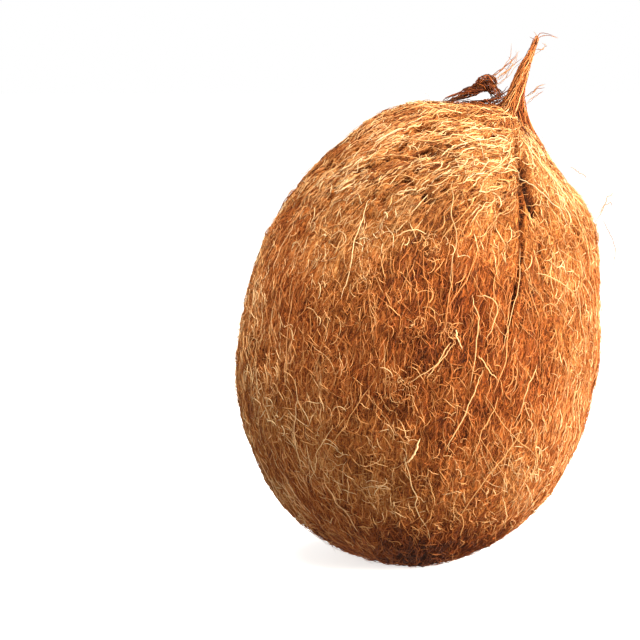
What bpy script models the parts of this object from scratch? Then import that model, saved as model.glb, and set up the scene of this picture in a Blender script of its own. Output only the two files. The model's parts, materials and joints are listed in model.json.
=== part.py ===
"""A whole dehusked coconut in its coat of coir fibre, standing on a small flat spot.

The nut is an egg that leans towards +X, with three low ridges that run from end to end and a few
broad rises and hollows. A horn of twisted husk fibre stands on its crown, and a short loop of fibre
joins the horn to the crown.

Units are metres and +Z is up. The origin is the middle of the flat spot that the nut stands on.
"""

import math

import bmesh
import bpy
from mathutils import Matrix, Vector

# The nut, along and across its own axis.
NUT_LENGTH = 0.151
NUT_WIDTH = 0.114
TOP_TAPER = 0.065
LEAN = math.radians(10.3)
STANDING_DEPTH = 0.0013

# The three ridges, counted round the nut's axis from -Y towards +X.
RIDGE_COUNT = 3
RIDGE_HEIGHT = 0.0010
FIRST_RIDGE = math.radians(31.0)

# The crown sinks a little round the axis and swells where the tuft grows out of it.
CROWN_DIP = 0.0028
CROWN_SPREAD = math.radians(12.0)
NECK_RISE = 0.0022
NECK_SPREAD = math.radians(9.0)

# Broad rises and hollows of the husk, as (direction from the nut's middle, height, spread).
SWELLINGS = [
    (Vector((0.054, -0.003, 0.037)), 0.0030, math.radians(12.0)),
    (Vector((0.044, -0.004, 0.054)), -0.0016, math.radians(12.0)),
    (Vector((0.044, 0.000, -0.046)), 0.0016, math.radians(24.0)),
    (Vector((-0.024, 0.000, 0.064)), -0.0012, math.radians(18.0)),
]

# The tuft, as (offset from the nut's middle, radius) along its length.
TUFT_ROOT = Vector((0.0280, -0.0044, 0.0690))
TUFT_PATH = [
    (Vector((0.0245, -0.0040, 0.0600)), 0.0085),
    (Vector((0.0276, -0.0044, 0.0700)), 0.0052),
    (Vector((0.0285, -0.0044, 0.0750)), 0.0030),
    (Vector((0.0299, -0.0042, 0.0800)), 0.0022),
    (Vector((0.0315, -0.0038, 0.0845)), 0.0017),
    (Vector((0.0332, -0.0032, 0.0880)), 0.0011),
    (Vector((0.0353, -0.0016, 0.0936)), 0.0005),
]
LOOP_PATH = [
    (Vector((0.0060, -0.0040, 0.0700)), 0.0013),
    (Vector((0.0105, -0.0045, 0.0746)), 0.0014),
    (Vector((0.0155, -0.0045, 0.0766)), 0.0016),
    (Vector((0.0192, -0.0044, 0.0784)), 0.0021),
    (Vector((0.0226, -0.0044, 0.0755)), 0.0019),
    (Vector((0.0245, -0.0044, 0.0680)), 0.0017),
]

# How finely the surface is divided.
SEGMENTS = 56
RINGS = 36
PATH_STEPS = 3
PATH_SIDES = 2

GROUND_SIZE = 0.2


def coir_material():
    """The brown of dry coir, with no gloss."""
    material = bpy.data.materials.new("coir_coat")
    material.use_nodes = True
    shader = material.node_tree.nodes["Principled BSDF"]
    shader.inputs["Base Color"].default_value = (0.46, 0.20, 0.07, 1.0)
    shader.inputs["Roughness"].default_value = 0.85
    shader.inputs["Metallic"].default_value = 0.0
    material.diffuse_color = (0.46, 0.20, 0.07, 1.0)
    return material


def egg_point(direction):
    """The point of the smooth upright egg for one point of the unit sphere."""
    width = NUT_WIDTH / 2 * (1 - TOP_TAPER * direction.z)
    return Vector((direction.x * width, direction.y * width, direction.z * NUT_LENGTH / 2))


def swelling(direction, centre, spread):
    """A bell of height 1 over the direction called centre, spread wide as an angle."""
    return math.exp(-((direction.angle(centre) / spread) ** 2))


def nut_point(direction):
    """The point of the upright nut's surface for one point of the unit sphere."""
    upright = Matrix.Rotation(-LEAN, 3, "Y")
    around = math.atan2(direction.x, -direction.y) - FIRST_RIDGE
    waist = math.hypot(direction.x, direction.y)
    point = egg_point(direction)
    rise = RIDGE_HEIGHT * waist * math.cos(RIDGE_COUNT * around)
    rise -= CROWN_DIP * swelling(direction, Vector((0, 0, 1)), CROWN_SPREAD)
    rise += NECK_RISE * swelling(point, upright @ TUFT_ROOT, NECK_SPREAD)
    for towards, height, spread in SWELLINGS:
        rise += height * swelling(point, upright @ towards, spread)
    return point + rise * direction


def standing_offset():
    """The place of the nut's middle once its lowest point is STANDING_DEPTH below the ground."""
    lean = Matrix.Rotation(LEAN, 3, "Y")
    steps = 3600
    outline = []
    for step in range(steps):
        angle = 2 * math.pi * step / steps
        outline.append(lean @ egg_point(Vector((math.sin(angle), 0, math.cos(angle)))))
    lowest = min(outline, key=lambda point: point.z)
    return Vector((-lowest.x, 0, -lowest.z - STANDING_DEPTH))


def mesh_object(name, mesh, collection):
    """A new object for a mesh, in a collection."""
    obj = bpy.data.objects.new(name, mesh)
    collection.objects.link(obj)
    return obj


def nut_object(collection):
    """The leaning nut: a sphere whose points are moved onto the nut's surface."""
    shape = bmesh.new()
    bmesh.ops.create_uvsphere(shape, u_segments=SEGMENTS, v_segments=RINGS, radius=1.0)
    for vertex in shape.verts:
        vertex.co = nut_point(vertex.co.normalized())
    shape.transform(Matrix.Rotation(LEAN, 4, "Y"))
    mesh = bpy.data.meshes.new("coconut")
    shape.to_mesh(mesh)
    shape.free()
    return mesh_object("coconut", mesh, collection)


def fibre_bundle(name, path, collection):
    """A closed tapering tube along a path of (point, radius), as a mesh object."""
    curve = bpy.data.curves.new(name, "CURVE")
    curve.dimensions = "3D"
    curve.bevel_depth = 1.0
    curve.bevel_resolution = PATH_SIDES
    curve.use_fill_caps = True
    curve.resolution_u = PATH_STEPS
    spline = curve.splines.new("BEZIER")
    spline.bezier_points.add(len(path) - 1)
    for knot, (place, radius) in zip(spline.bezier_points, path):
        knot.co = place
        knot.radius = radius
        knot.handle_left_type = "AUTO"
        knot.handle_right_type = "AUTO"
    guide = mesh_object(name + "_guide", curve, collection)
    graph = bpy.context.evaluated_depsgraph_get()
    mesh = bpy.data.meshes.new_from_object(guide.evaluated_get(graph))
    bpy.data.objects.remove(guide)
    shape = bmesh.new()
    shape.from_mesh(mesh)
    bmesh.ops.remove_doubles(shape, verts=shape.verts, dist=0.00001)
    bmesh.ops.recalc_face_normals(shape, faces=shape.faces)
    shape.to_mesh(mesh)
    shape.free()
    return mesh_object(name, mesh, collection)


def ground_cutter(collection):
    """A block whose top face is the ground, to cut the flat spot."""
    shape = bmesh.new()
    bmesh.ops.create_cube(shape, size=GROUND_SIZE)
    shape.transform(Matrix.Translation((0, 0, -GROUND_SIZE / 2)))
    mesh = bpy.data.meshes.new("ground_cutter")
    shape.to_mesh(mesh)
    shape.free()
    return mesh_object("ground_cutter", mesh, collection)


def hide_helper(obj):
    """Keep a helper out of renders and show it as wire."""
    obj.hide_render = True
    obj.display_type = "WIRE"


def add_boolean(obj, other, operation):
    """Join another object to this one, or cut this one with it."""
    modifier = obj.modifiers.new(operation.title() + "_" + other.name, "BOOLEAN")
    modifier.operation = operation
    modifier.object = other
    modifier.solver = "EXACT"


def main():
    """Clear the scene, then build the coconut."""
    for obj in list(bpy.data.objects):
        bpy.data.objects.remove(obj)
    parts = bpy.data.collections.new("coconut")
    helpers = bpy.data.collections.new("cutters")
    bpy.context.scene.collection.children.link(parts)
    bpy.context.scene.collection.children.link(helpers)

    offset = standing_offset()
    nut = nut_object(parts)
    nut.location = offset
    nut.data.materials.append(coir_material())
    nut.data.shade_smooth()
    for name, path in (("tuft", TUFT_PATH), ("fibre_loop", LOOP_PATH)):
        bundle = fibre_bundle(name, path, helpers)
        bundle.location = offset
        hide_helper(bundle)
        add_boolean(nut, bundle, "UNION")
    ground = ground_cutter(helpers)
    hide_helper(ground)
    add_boolean(nut, ground, "DIFFERENCE")


if __name__ == "__main__":
    main()
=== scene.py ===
"""The looks of a whole dehusked coconut: a matted coat of coir fibre and a twisted tuft.

The nut is built from the outside in the way a coconut wears it. A dense mat hugs the shell, with
lumps, combed ridges and a dark seam. Thousands of separate fibres lie on it in layers, combed away
from the stalk end, and loose pale strands and flyaway hairs lie over those. At the stalk end the
husk fibres twist into a horn, with a low loop of dark fibre beside it.

Units are metres and +Z is up. The origin is the middle of the flat spot that the nut stands on.
"""

from __future__ import annotations

import json
import logging
import math
from dataclasses import dataclass, field
from enum import Enum
from typing import Any, Sequence

import bmesh
import bpy
import numpy as np
from mathutils import Matrix, Vector, noise

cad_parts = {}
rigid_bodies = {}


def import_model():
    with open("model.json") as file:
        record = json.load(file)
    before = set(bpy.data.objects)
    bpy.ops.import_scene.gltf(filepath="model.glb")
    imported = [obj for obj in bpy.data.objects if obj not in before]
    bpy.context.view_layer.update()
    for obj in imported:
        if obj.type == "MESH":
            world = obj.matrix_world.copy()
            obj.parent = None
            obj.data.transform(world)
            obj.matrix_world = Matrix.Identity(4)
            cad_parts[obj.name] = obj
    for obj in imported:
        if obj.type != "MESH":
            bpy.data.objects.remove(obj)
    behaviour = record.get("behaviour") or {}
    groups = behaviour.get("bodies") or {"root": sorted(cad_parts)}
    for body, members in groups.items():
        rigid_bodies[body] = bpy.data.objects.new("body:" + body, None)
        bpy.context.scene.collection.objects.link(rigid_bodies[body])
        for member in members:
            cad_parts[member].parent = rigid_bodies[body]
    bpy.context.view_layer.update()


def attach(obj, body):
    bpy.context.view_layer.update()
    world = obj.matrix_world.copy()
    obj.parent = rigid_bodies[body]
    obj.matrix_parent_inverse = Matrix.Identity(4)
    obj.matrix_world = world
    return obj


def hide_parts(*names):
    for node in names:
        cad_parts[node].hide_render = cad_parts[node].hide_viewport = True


LOG = logging.getLogger("coconut")

NUT_NODE = "coconut"
BODY = "root"
MM = 0.001
BAKE_MAP = "OFBake"


# Where the eye is, before the nut: its distance, its height as an angle, and where it looks, to the
# right of the nut's middle and above it.
EYE_DISTANCE = 0.90
EYE_HEIGHT = math.radians(6)
EYE_AIM = (-33 * MM, 3.5 * MM)


class Lie(Enum):
    """How a fibre lies on the nut: its name in the log, and what the eye sees."""

    COMBED = "combed close to the nut, away from the stalk end"
    CURLED = "curled in small loops on the coat"
    LOOSE = "long and loose over the coat"
    FLYAWAY = "rooted in the coat, with a free end in the air"


# ----------------------------------------------------------------------------------------------
# Colours and node trees
# ----------------------------------------------------------------------------------------------


def linear(hex_colour: str, alpha: float = 1.0) -> tuple[float, float, float, float]:
    """Turn an sRGB hex colour into the linear colour that a shader takes.

    Args:
        hex_colour: The colour as "#RRGGBB".
        alpha: The fourth value.

    Returns:
        Red, green, blue and alpha.
    """
    shares = [int(hex_colour[i : i + 2], 16) / 255 for i in (1, 3, 5)]
    red, green, blue = [
        s / 12.92 if s <= 0.04045 else ((s + 0.055) / 1.055) ** 2.4 for s in shares
    ]
    return red, green, blue, alpha


def socket_of(sockets: Any, key: int | str) -> bpy.types.NodeSocket:
    """Find a node's socket.

    Args:
        sockets: The node's inputs or outputs.
        key: The socket's number, or its name among the sockets in use.

    Returns:
        The socket.
    """
    if isinstance(key, int):
        return sockets[key]
    return next(s for s in sockets if s.name == key and s.enabled)


def add_node(
    tree: bpy.types.NodeTree, kind: str, values: dict[int | str, Any] | None = None, **settings: Any
) -> bpy.types.Node:
    """Add a node to a tree, with its settings, values and links.

    Args:
        tree: The tree that gets the node.
        kind: The node's type name.
        values: What goes into each input: a number, a socket, or a node, whose first output in
            use is linked.
        **settings: The node's own properties.

    Returns:
        The new node.
    """
    node = tree.nodes.new(kind)
    for name, value in settings.items():
        setattr(node, name, value)
    for key, value in (values or {}).items():
        socket = socket_of(node.inputs, key)
        if isinstance(value, bpy.types.Node):
            value = next(s for s in value.outputs if s.enabled)
        if isinstance(value, bpy.types.NodeSocket):
            tree.links.new(value, socket)
        else:
            socket.default_value = value
    return node


def fill_ramp(node: bpy.types.Node, stops: Sequence[tuple[float, str]]) -> None:
    """Give a colour ramp its stops.

    Args:
        node: The colour ramp node.
        stops: Each stop's place from 0 to 1, and its sRGB hex colour.
    """
    elements = node.color_ramp.elements
    while len(elements) < len(stops):
        elements.new(1.0)
    for element, (place, colour) in zip(elements, stops):
        element.position = place
        element.color = linear(colour)


def new_geometry_tree(name: str, inputs: dict[str, tuple[str, Any]]) -> bpy.types.NodeTree:
    """Start a Geometry Nodes tree with a geometry going in and out and named inputs.

    Args:
        name: The tree's name.
        inputs: Each further input's name, with its socket type and its value if none is given.

    Returns:
        The tree, with no nodes in it.
    """
    tree = bpy.data.node_groups.new(name, "GeometryNodeTree")
    tree.interface.new_socket("Geometry", in_out="INPUT", socket_type="NodeSocketGeometry")
    tree.interface.new_socket("Geometry", in_out="OUTPUT", socket_type="NodeSocketGeometry")
    for label, (kind, value) in inputs.items():
        socket = tree.interface.new_socket(label, in_out="INPUT", socket_type=kind)
        if value is not None:
            socket.default_value = value
    return tree


def grown_mesh(
    name: str, base: bpy.types.Mesh, tree: bpy.types.NodeTree, given: dict[str, Any]
) -> bpy.types.Mesh:
    """Run a Geometry Nodes tree on a mesh and keep what it makes as a plain mesh.

    Args:
        name: The new mesh's name.
        base: The mesh that goes into the tree.
        tree: The tree.
        given: The value of each named input.

    Returns:
        The plain mesh.
    """
    carrier = bpy.data.objects.new(name + "_carrier", base)
    bpy.context.scene.collection.objects.link(carrier)
    modifier = carrier.modifiers.new(name, "NODES")
    modifier.node_group = tree
    for item in tree.interface.items_tree:
        if item.in_out == "INPUT" and item.name in given:
            modifier[item.identifier] = given[item.name]
    graph = bpy.context.evaluated_depsgraph_get()
    mesh = bpy.data.meshes.new_from_object(carrier.evaluated_get(graph))
    mesh.name = name
    carrier.modifiers.clear()
    bpy.data.objects.remove(carrier)
    return mesh


def place_piece(name: str, mesh: bpy.types.Mesh) -> bpy.types.Object:
    """Put a finished mesh in the scene as a piece of the nut, and tell the frame about it.

    Args:
        name: The piece's name.
        mesh: The mesh, in the frame's own coordinates.

    Returns:
        The piece.
    """
    piece = bpy.data.objects.new(name, mesh)
    bpy.context.scene.collection.objects.link(piece)
    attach(piece, BODY)
    LOG.info("%s: %d faces", name, len(mesh.polygons))
    return piece


# ----------------------------------------------------------------------------------------------
# Finishes
# ----------------------------------------------------------------------------------------------


COIR_SHADES = (
    (0.00, "#1E0F08"),
    (0.18, "#4E2710"),
    (0.36, "#84461E"),
    (0.54, "#B27038"),
    (0.70, "#D5A36C"),
    (0.86, "#EFD4A8"),
    (1.00, "#FAE8C4"),
)
COIR_HUES = ((0.0, "#FFDCC2"), (0.45, "#FFF8EA"), (1.0, "#D6D0C8"))


@dataclass(frozen=True)
class CoirFibre:
    """Dry coir, the husk fibre of a ripe coconut: round woody hairs, 0.1 to 0.5 mm thick.

    The eye sees every shade from umber to straw side by side, and hardly any shine. The shade is
    read from the hair's own map: across it runs from dark to pale, and up it from reddish to ashen.
    """

    name: str = "dry_coir_fibre"
    roughness: float = 0.66
    gloss: float = 0.16

    def material(self) -> bpy.types.Material:
        """Make the material."""
        material = bpy.data.materials.new(self.name)
        material.use_nodes = True
        tree = material.node_tree
        shader = tree.nodes["Principled BSDF"]
        shader.inputs["Roughness"].default_value = self.roughness
        shader.inputs["Specular IOR Level"].default_value = self.gloss
        place = add_node(tree, "ShaderNodeUVMap", uv_map=BAKE_MAP)
        split = add_node(tree, "ShaderNodeSeparateXYZ", {"Vector": place})
        shade = add_node(tree, "ShaderNodeValToRGB", {"Fac": split.outputs["X"]})
        fill_ramp(shade, COIR_SHADES)
        hue = add_node(tree, "ShaderNodeValToRGB", {"Fac": split.outputs["Y"]})
        fill_ramp(hue, COIR_HUES)
        colour = add_node(
            tree,
            "ShaderNodeMix",
            {"Factor": 1.0, "A": shade, "B": hue},
            data_type="RGBA",
            blend_type="MULTIPLY",
        )
        tree.links.new(socket_of(colour.outputs, "Result"), shader.inputs["Base Color"])
        return material


@dataclass(frozen=True)
class CoirMat:
    """The mat of short hairs and pith dust that hugs the shell: felted, uneven and quite dull.

    The eye sees fine hairs, some combed and some curled, over darker gaps, and broad patches of
    golden, reddish and ashen brown. The gaps are drawn darker as painted shade between the hairs,
    and the patches take in the painted shade and painted highlights of the coat's shade map.
    """

    name: str = "matted_coir_and_pith"
    roughness: float = 0.9
    gloss: float = 0.08
    wander: float = 2.0 * MM
    wander_length: float = 4.5 * MM
    combed_width: float = 0.75 * MM
    curled_width: float = 1.3 * MM
    speckle_width: float = 0.6 * MM
    patch_width: float = 5 * MM
    hair_share: float = 0.30
    speckle_share: float = 0.55
    patch_share: float = 0.30
    # How much darker the mat is drawn than the fibres on it: painted shade in the gaps between the hairs.
    depth: float = -0.15
    bump: float = 0.30 * MM

    def hairs(self, tree: bpy.types.NodeTree, spots: Sequence[tuple[Any, float]]) -> Any:
        """Draw thin wandering lines, as high as 1, where slow waves cross their middle.

        Args:
            tree: The material's tree.
            spots: Where to read each set of waves, and how wide they are.

        Returns:
            The node that gives the highest line at each place.
        """
        hairs: Any = 0.0
        for spot, width in spots:
            waves = add_node(
                tree, "ShaderNodeTexNoise", {"Vector": spot, "Scale": 1 / width, "Detail": 1.0}
            )
            off = add_node(tree, "ShaderNodeMath", {0: waves, 1: 0.5}, operation="SUBTRACT")
            off = add_node(tree, "ShaderNodeMath", {0: off}, operation="ABSOLUTE")
            line = add_node(
                tree, "ShaderNodeMapRange", {"Value": off, "From Max": 0.07, "To Min": 1.0, "To Max": 0.0}
            )
            hairs = add_node(tree, "ShaderNodeMath", {0: hairs, 1: line}, operation="MAXIMUM")
        return hairs

    def material(self) -> bpy.types.Material:
        """Make the material."""
        material = bpy.data.materials.new(self.name)
        material.use_nodes = True
        tree = material.node_tree
        shader = tree.nodes["Principled BSDF"]
        shader.inputs["Roughness"].default_value = self.roughness
        shader.inputs["Specular IOR Level"].default_value = self.gloss
        streak = add_node(tree, "ShaderNodeAttribute", attribute_name="streak")
        shade = add_node(tree, "ShaderNodeAttribute", attribute_name="shade")
        ash = add_node(tree, "ShaderNodeAttribute", attribute_name="ash")
        place = add_node(tree, "ShaderNodeTexCoord").outputs["Object"]
        drift = add_node(
            tree,
            "ShaderNodeTexNoise",
            {"Vector": place, "Scale": 1 / self.wander_length, "Detail": 1.0},
        )
        drift = add_node(
            tree,
            "ShaderNodeVectorMath",
            {0: drift.outputs["Color"], 1: (0.5, 0.5, 0.5)},
            operation="SUBTRACT",
        )
        drift = add_node(
            tree, "ShaderNodeVectorMath", {0: drift, "Scale": self.wander}, operation="SCALE"
        )
        combed = add_node(
            tree,
            "ShaderNodeVectorMath",
            {0: streak.outputs["Vector"], 1: drift},
            operation="ADD",
        )
        curled = add_node(tree, "ShaderNodeVectorMath", {0: place, 1: drift}, operation="ADD")
        hairs = self.hairs(
            tree,
            (
                (combed, self.combed_width),
                (combed, 2.1 * self.combed_width),
                (curled, self.curled_width),
            ),
        )
        # The mat's level is the shade map, with its painted shade and painted highlights, lowered by
        # depth as painted shade between the hairs.
        level = add_node(
            tree,
            "ShaderNodeMath",
            {0: shade.outputs["Fac"], 1: self.depth - self.hair_share / 3},
            operation="ADD",
        )
        level = add_node(
            tree,
            "ShaderNodeMath",
            {0: hairs, 1: self.hair_share, 2: level},
            operation="MULTIPLY_ADD",
        )
        for spot, width, share in (
            (combed, self.speckle_width, self.speckle_share),
            (place, self.patch_width, self.patch_share),
        ):
            waves = add_node(
                tree, "ShaderNodeTexNoise", {"Vector": spot, "Scale": 1 / width, "Detail": 2.0}
            )
            waves = add_node(tree, "ShaderNodeMath", {0: waves, 1: 0.5}, operation="SUBTRACT")
            level = add_node(
                tree, "ShaderNodeMath", {0: waves, 1: share, 2: level}, operation="MULTIPLY_ADD"
            )
        colour = add_node(tree, "ShaderNodeValToRGB", {"Fac": level})
        fill_ramp(colour, COIR_SHADES)
        hue = add_node(tree, "ShaderNodeValToRGB", {"Fac": ash.outputs["Fac"]})
        fill_ramp(hue, COIR_HUES)
        tinted = add_node(
            tree,
            "ShaderNodeMix",
            {"Factor": 1.0, "A": colour, "B": hue},
            data_type="RGBA",
            blend_type="MULTIPLY",
        )
        relief = add_node(
            tree,
            "ShaderNodeBump",
            {"Strength": 1.0, "Distance": self.bump, "Height": hairs},
        )
        tree.links.new(socket_of(tinted.outputs, "Result"), shader.inputs["Base Color"])
        tree.links.new(relief.outputs["Normal"], shader.inputs["Normal"])
        return material


@dataclass(frozen=True)
class StudioPaper:
    """Matt white background paper under the nut."""

    name: str = "white_background_paper"
    colour: str = "#F4F3F1"
    roughness: float = 0.9

    def material(self, glow: float) -> bpy.types.Material:
        """Make the material, lit from behind as on a light table by the strength of the glow."""
        material = bpy.data.materials.new(self.name)
        material.use_nodes = True
        shader = material.node_tree.nodes["Principled BSDF"]
        shader.inputs["Base Color"].default_value = linear(self.colour)
        shader.inputs["Roughness"].default_value = self.roughness
        shader.inputs["Emission Color"].default_value = linear(self.colour)
        shader.inputs["Emission Strength"].default_value = glow
        return material


# ----------------------------------------------------------------------------------------------
# The nut's shape
# ----------------------------------------------------------------------------------------------


def unit(vectors: np.ndarray) -> np.ndarray:
    """Scale each row to length 1."""
    return vectors / np.maximum(np.linalg.norm(vectors, axis=-1, keepdims=True), 1e-12)


def smooth_step(value: np.ndarray, low: float, high: float) -> np.ndarray:
    """Go smoothly from 0 at low to 1 at high."""
    share = np.clip((value - low) / (high - low), 0, 1)
    return share * share * (3 - 2 * share)


@dataclass(frozen=True)
class Swelling:
    """A broad rise or hollow of the husk: where it is from the nut's middle, and its size."""

    towards: tuple[float, float, float]
    height: float
    spread: float


@dataclass(frozen=True)
class NutShape:
    """The leaning egg that the coat is built on, as the frame's solid has it.

    The tuft's root is the pole of the fibres: they all run away from it, over the nut, towards
    the opposite side.
    """

    length: float = 151 * MM
    width: float = 114 * MM
    top_taper: float = 0.065
    lean: float = math.radians(10.3)
    standing_depth: float = 1.3 * MM
    ridge_count: int = 3
    ridge_height: float = 1.0 * MM
    first_ridge: float = math.radians(31)
    crown_dip: float = 2.8 * MM
    crown_spread: float = math.radians(12)
    neck_rise: float = 2.2 * MM
    neck_spread: float = math.radians(9)
    swellings: tuple[Swelling, ...] = (
        Swelling((54 * MM, -3 * MM, 37 * MM), 3.0 * MM, math.radians(12)),
        Swelling((44 * MM, -4 * MM, 54 * MM), -1.6 * MM, math.radians(12)),
        Swelling((44 * MM, 0 * MM, -46 * MM), 1.6 * MM, math.radians(24)),
        Swelling((-24 * MM, 0 * MM, 64 * MM), -1.2 * MM, math.radians(18)),
    )
    coat: float = 0.6 * MM
    tuft_root: tuple[float, float, float] = (28.0 * MM, -4.4 * MM, 69.0 * MM)

    def turned(self, vectors: np.ndarray, way: int) -> np.ndarray:
        """Lean upright vectors (way 1), or set leaning ones upright (way -1)."""
        return vectors @ np.array(Matrix.Rotation(way * self.lean, 3, "Y")).T

    def egg(self, directions: np.ndarray) -> np.ndarray:
        """The smooth upright egg's points for points of the unit sphere."""
        width = self.width / 2 * (1 - self.top_taper * directions[:, 2])
        return np.stack(
            [directions[:, 0] * width, directions[:, 1] * width, directions[:, 2] * self.length / 2],
            axis=1,
        )

    @property
    def middle(self) -> np.ndarray:
        """The nut's middle, with its lowest point standing_depth below the ground."""
        angles = np.linspace(0, 2 * math.pi, 3600, endpoint=False)
        outline = self.egg(np.stack([np.sin(angles), 0 * angles, np.cos(angles)], axis=1))
        outline = self.turned(outline, 1)
        lowest = outline[outline[:, 2].argmin()]
        return np.array([-lowest[0], 0, -lowest[2] - self.standing_depth])

    def surface(self, directions: np.ndarray) -> np.ndarray:
        """Points of the nut's surface.

        Args:
            directions: Points of the unit sphere in the upright nut.

        Returns:
            The points in the frame.
        """
        base = self.egg(directions)
        tuft = unit(self.turned(np.array([self.tuft_root]), -1))[0]
        around = np.arctan2(directions[:, 0], -directions[:, 1]) - self.first_ridge
        waist = np.hypot(directions[:, 0], directions[:, 1])
        from_axis = np.arccos(np.clip(directions[:, 2], -1, 1))
        from_tuft = np.arccos(np.clip(unit(base) @ tuft, -1, 1))
        rise = self.ridge_height * waist * np.cos(self.ridge_count * around)
        rise -= self.crown_dip * np.exp(-((from_axis / self.crown_spread) ** 2))
        rise += self.neck_rise * np.exp(-((from_tuft / self.neck_spread) ** 2))
        for swelling in self.swellings:
            towards = unit(self.turned(np.array([swelling.towards]), -1))[0]
            angle = np.arccos(np.clip(unit(base) @ towards, -1, 1))
            rise += swelling.height * np.exp(-((angle / swelling.spread) ** 2))
        rise -= self.coat
        return self.turned(base + rise[:, None] * directions, 1) + self.middle

    @property
    def tuft_foot(self) -> np.ndarray:
        """Where the tuft grows out of the nut."""
        return self.middle + np.array(self.tuft_root)

    @property
    def pole(self) -> np.ndarray:
        """The direction of the fibres' axis, from the spot that the nut stands on to the tuft."""
        return unit(self.tuft_foot)

    @property
    def fibre_centre(self) -> np.ndarray:
        """The middle of the fibres' axis."""
        return self.tuft_foot / 2

    def side_axes(self) -> tuple[np.ndarray, np.ndarray]:
        """Two directions square to the axis: the one nearest the front, and the one to its right."""
        to_front = np.array([0.0, -1.0, 0.0])
        front = unit(to_front - self.pole * (to_front @ self.pole))
        return front, np.cross(front, self.pole) * -1

    def polar(self, points: np.ndarray) -> tuple[np.ndarray, np.ndarray]:
        """The angle from the tuft and the angle round the fibres' axis, for points of the nut."""
        rays = unit(points - self.fibre_centre)
        front, right = self.side_axes()
        down = np.arccos(np.clip(rays @ self.pole, -1, 1))
        return down, np.arctan2(rays @ right, rays @ front)

    def at_polar(self, down: np.ndarray, around: np.ndarray) -> np.ndarray:
        """Points of the nut's surface at angles from the tuft and round the fibres' axis."""
        front, right = self.side_axes()
        rays = (
            np.cos(down)[:, None] * self.pole
            + (np.sin(down) * np.cos(around))[:, None] * front
            + (np.sin(down) * np.sin(around))[:, None] * right
        )
        return self.along_rays(self.fibre_centre, rays)

    def along_rays(self, start: np.ndarray, rays: np.ndarray) -> np.ndarray:
        """Points of the nut's surface on rays from a place inside it, by a few corrections."""
        points = start + rays * self.width / 2
        for _ in range(14):
            found = self.surface(self.directions_of(points))
            reach = ((found - start) * rays).sum(axis=1, keepdims=True)
            points = start + rays * reach
        return points

    def directions_of(self, points: np.ndarray) -> np.ndarray:
        """The points of the unit sphere whose surface points lie over or under given points."""
        upright = self.turned(points - self.middle, -1)
        height = np.clip(upright[:, 2] / (self.length / 2), -1, 1)
        width = self.width / 2 * (1 - self.top_taper * height)
        return unit(upright / np.stack([width, width, 0 * width + self.length / 2], axis=1))

    def front_points(self, places: np.ndarray) -> np.ndarray:
        """Points of the nut's front surface, where an eye before the nut sees them.

        Args:
            places: How far each seems to the right of the nut's middle and above it, in metres,
                held against an upright sheet through the middle.

        Returns:
            The points in the frame.
        """
        back = np.array([0, -math.cos(EYE_HEIGHT), math.sin(EYE_HEIGHT)])
        upward = np.array([0, math.sin(EYE_HEIGHT), math.cos(EYE_HEIGHT)])
        eye = self.middle + np.array([EYE_AIM[0], 0, EYE_AIM[1]]) + back * EYE_DISTANCE
        on_sheet = self.middle + places[:, 1:] * upward
        on_sheet[:, 0] += places[:, 0]
        return self.along_rays(on_sheet, unit(eye - on_sheet))


# ----------------------------------------------------------------------------------------------
# The mat
# ----------------------------------------------------------------------------------------------


def smooth_path(knots: np.ndarray, count: int) -> np.ndarray:
    """Draw a smooth line through a few points.

    Args:
        knots: The points, one row each, of two or three numbers.
        count: How many points the line gets.

    Returns:
        The line's points, evenly shared among the stretches between the knots.
    """
    ends = np.vstack([2 * knots[0] - knots[1], knots, 2 * knots[-1] - knots[-2]])
    place = np.linspace(0, len(knots) - 1, count)
    first = np.minimum(place.astype(int), len(knots) - 2)
    t = (place - first)[:, None]
    a, b, c, d = (ends[first + i] for i in range(4))
    return 0.5 * (
        2 * b + (c - a) * t + (2 * a - 5 * b + 4 * c - d) * t**2 + (3 * b - a - 3 * c + d) * t**3
    )


def nearness(points: np.ndarray, path: np.ndarray, width: float) -> np.ndarray:
    """How near points are to a path: 1 on it, falling off like a bell as wide as width.

    Args:
        points: The points.
        path: The path's points, closer together than its width.
        width: The width of the bell.

    Returns:
        One number for each point.
    """
    near = np.full(len(points), np.inf)
    for start, end in zip(path[:-1], path[1:]):
        stretch = end - start
        share = np.clip((points - start) @ stretch / (stretch @ stretch), 0, 1)
        off = points - start - share[:, None] * stretch
        near = np.minimum(near, (off * off).sum(axis=1))
    return np.exp(-near / (width / 2) ** 2)


def waviness(places: np.ndarray) -> np.ndarray:
    """Slow waves from -1 to 1, about one unit long, at each place."""
    return np.array([noise.noise(Vector(place)) for place in places])


@dataclass(frozen=True)
class ToneAndPaintedLight:
    """A broad paler (or darker) area of the front, partly the coat's own colour and partly painted light:
    the paler ones carry painted highlights, the darker ones painted shade. Its middle in millimetres, and
    its radius.
    """

    place: tuple[float, float]
    radius: float
    strength: float


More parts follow.
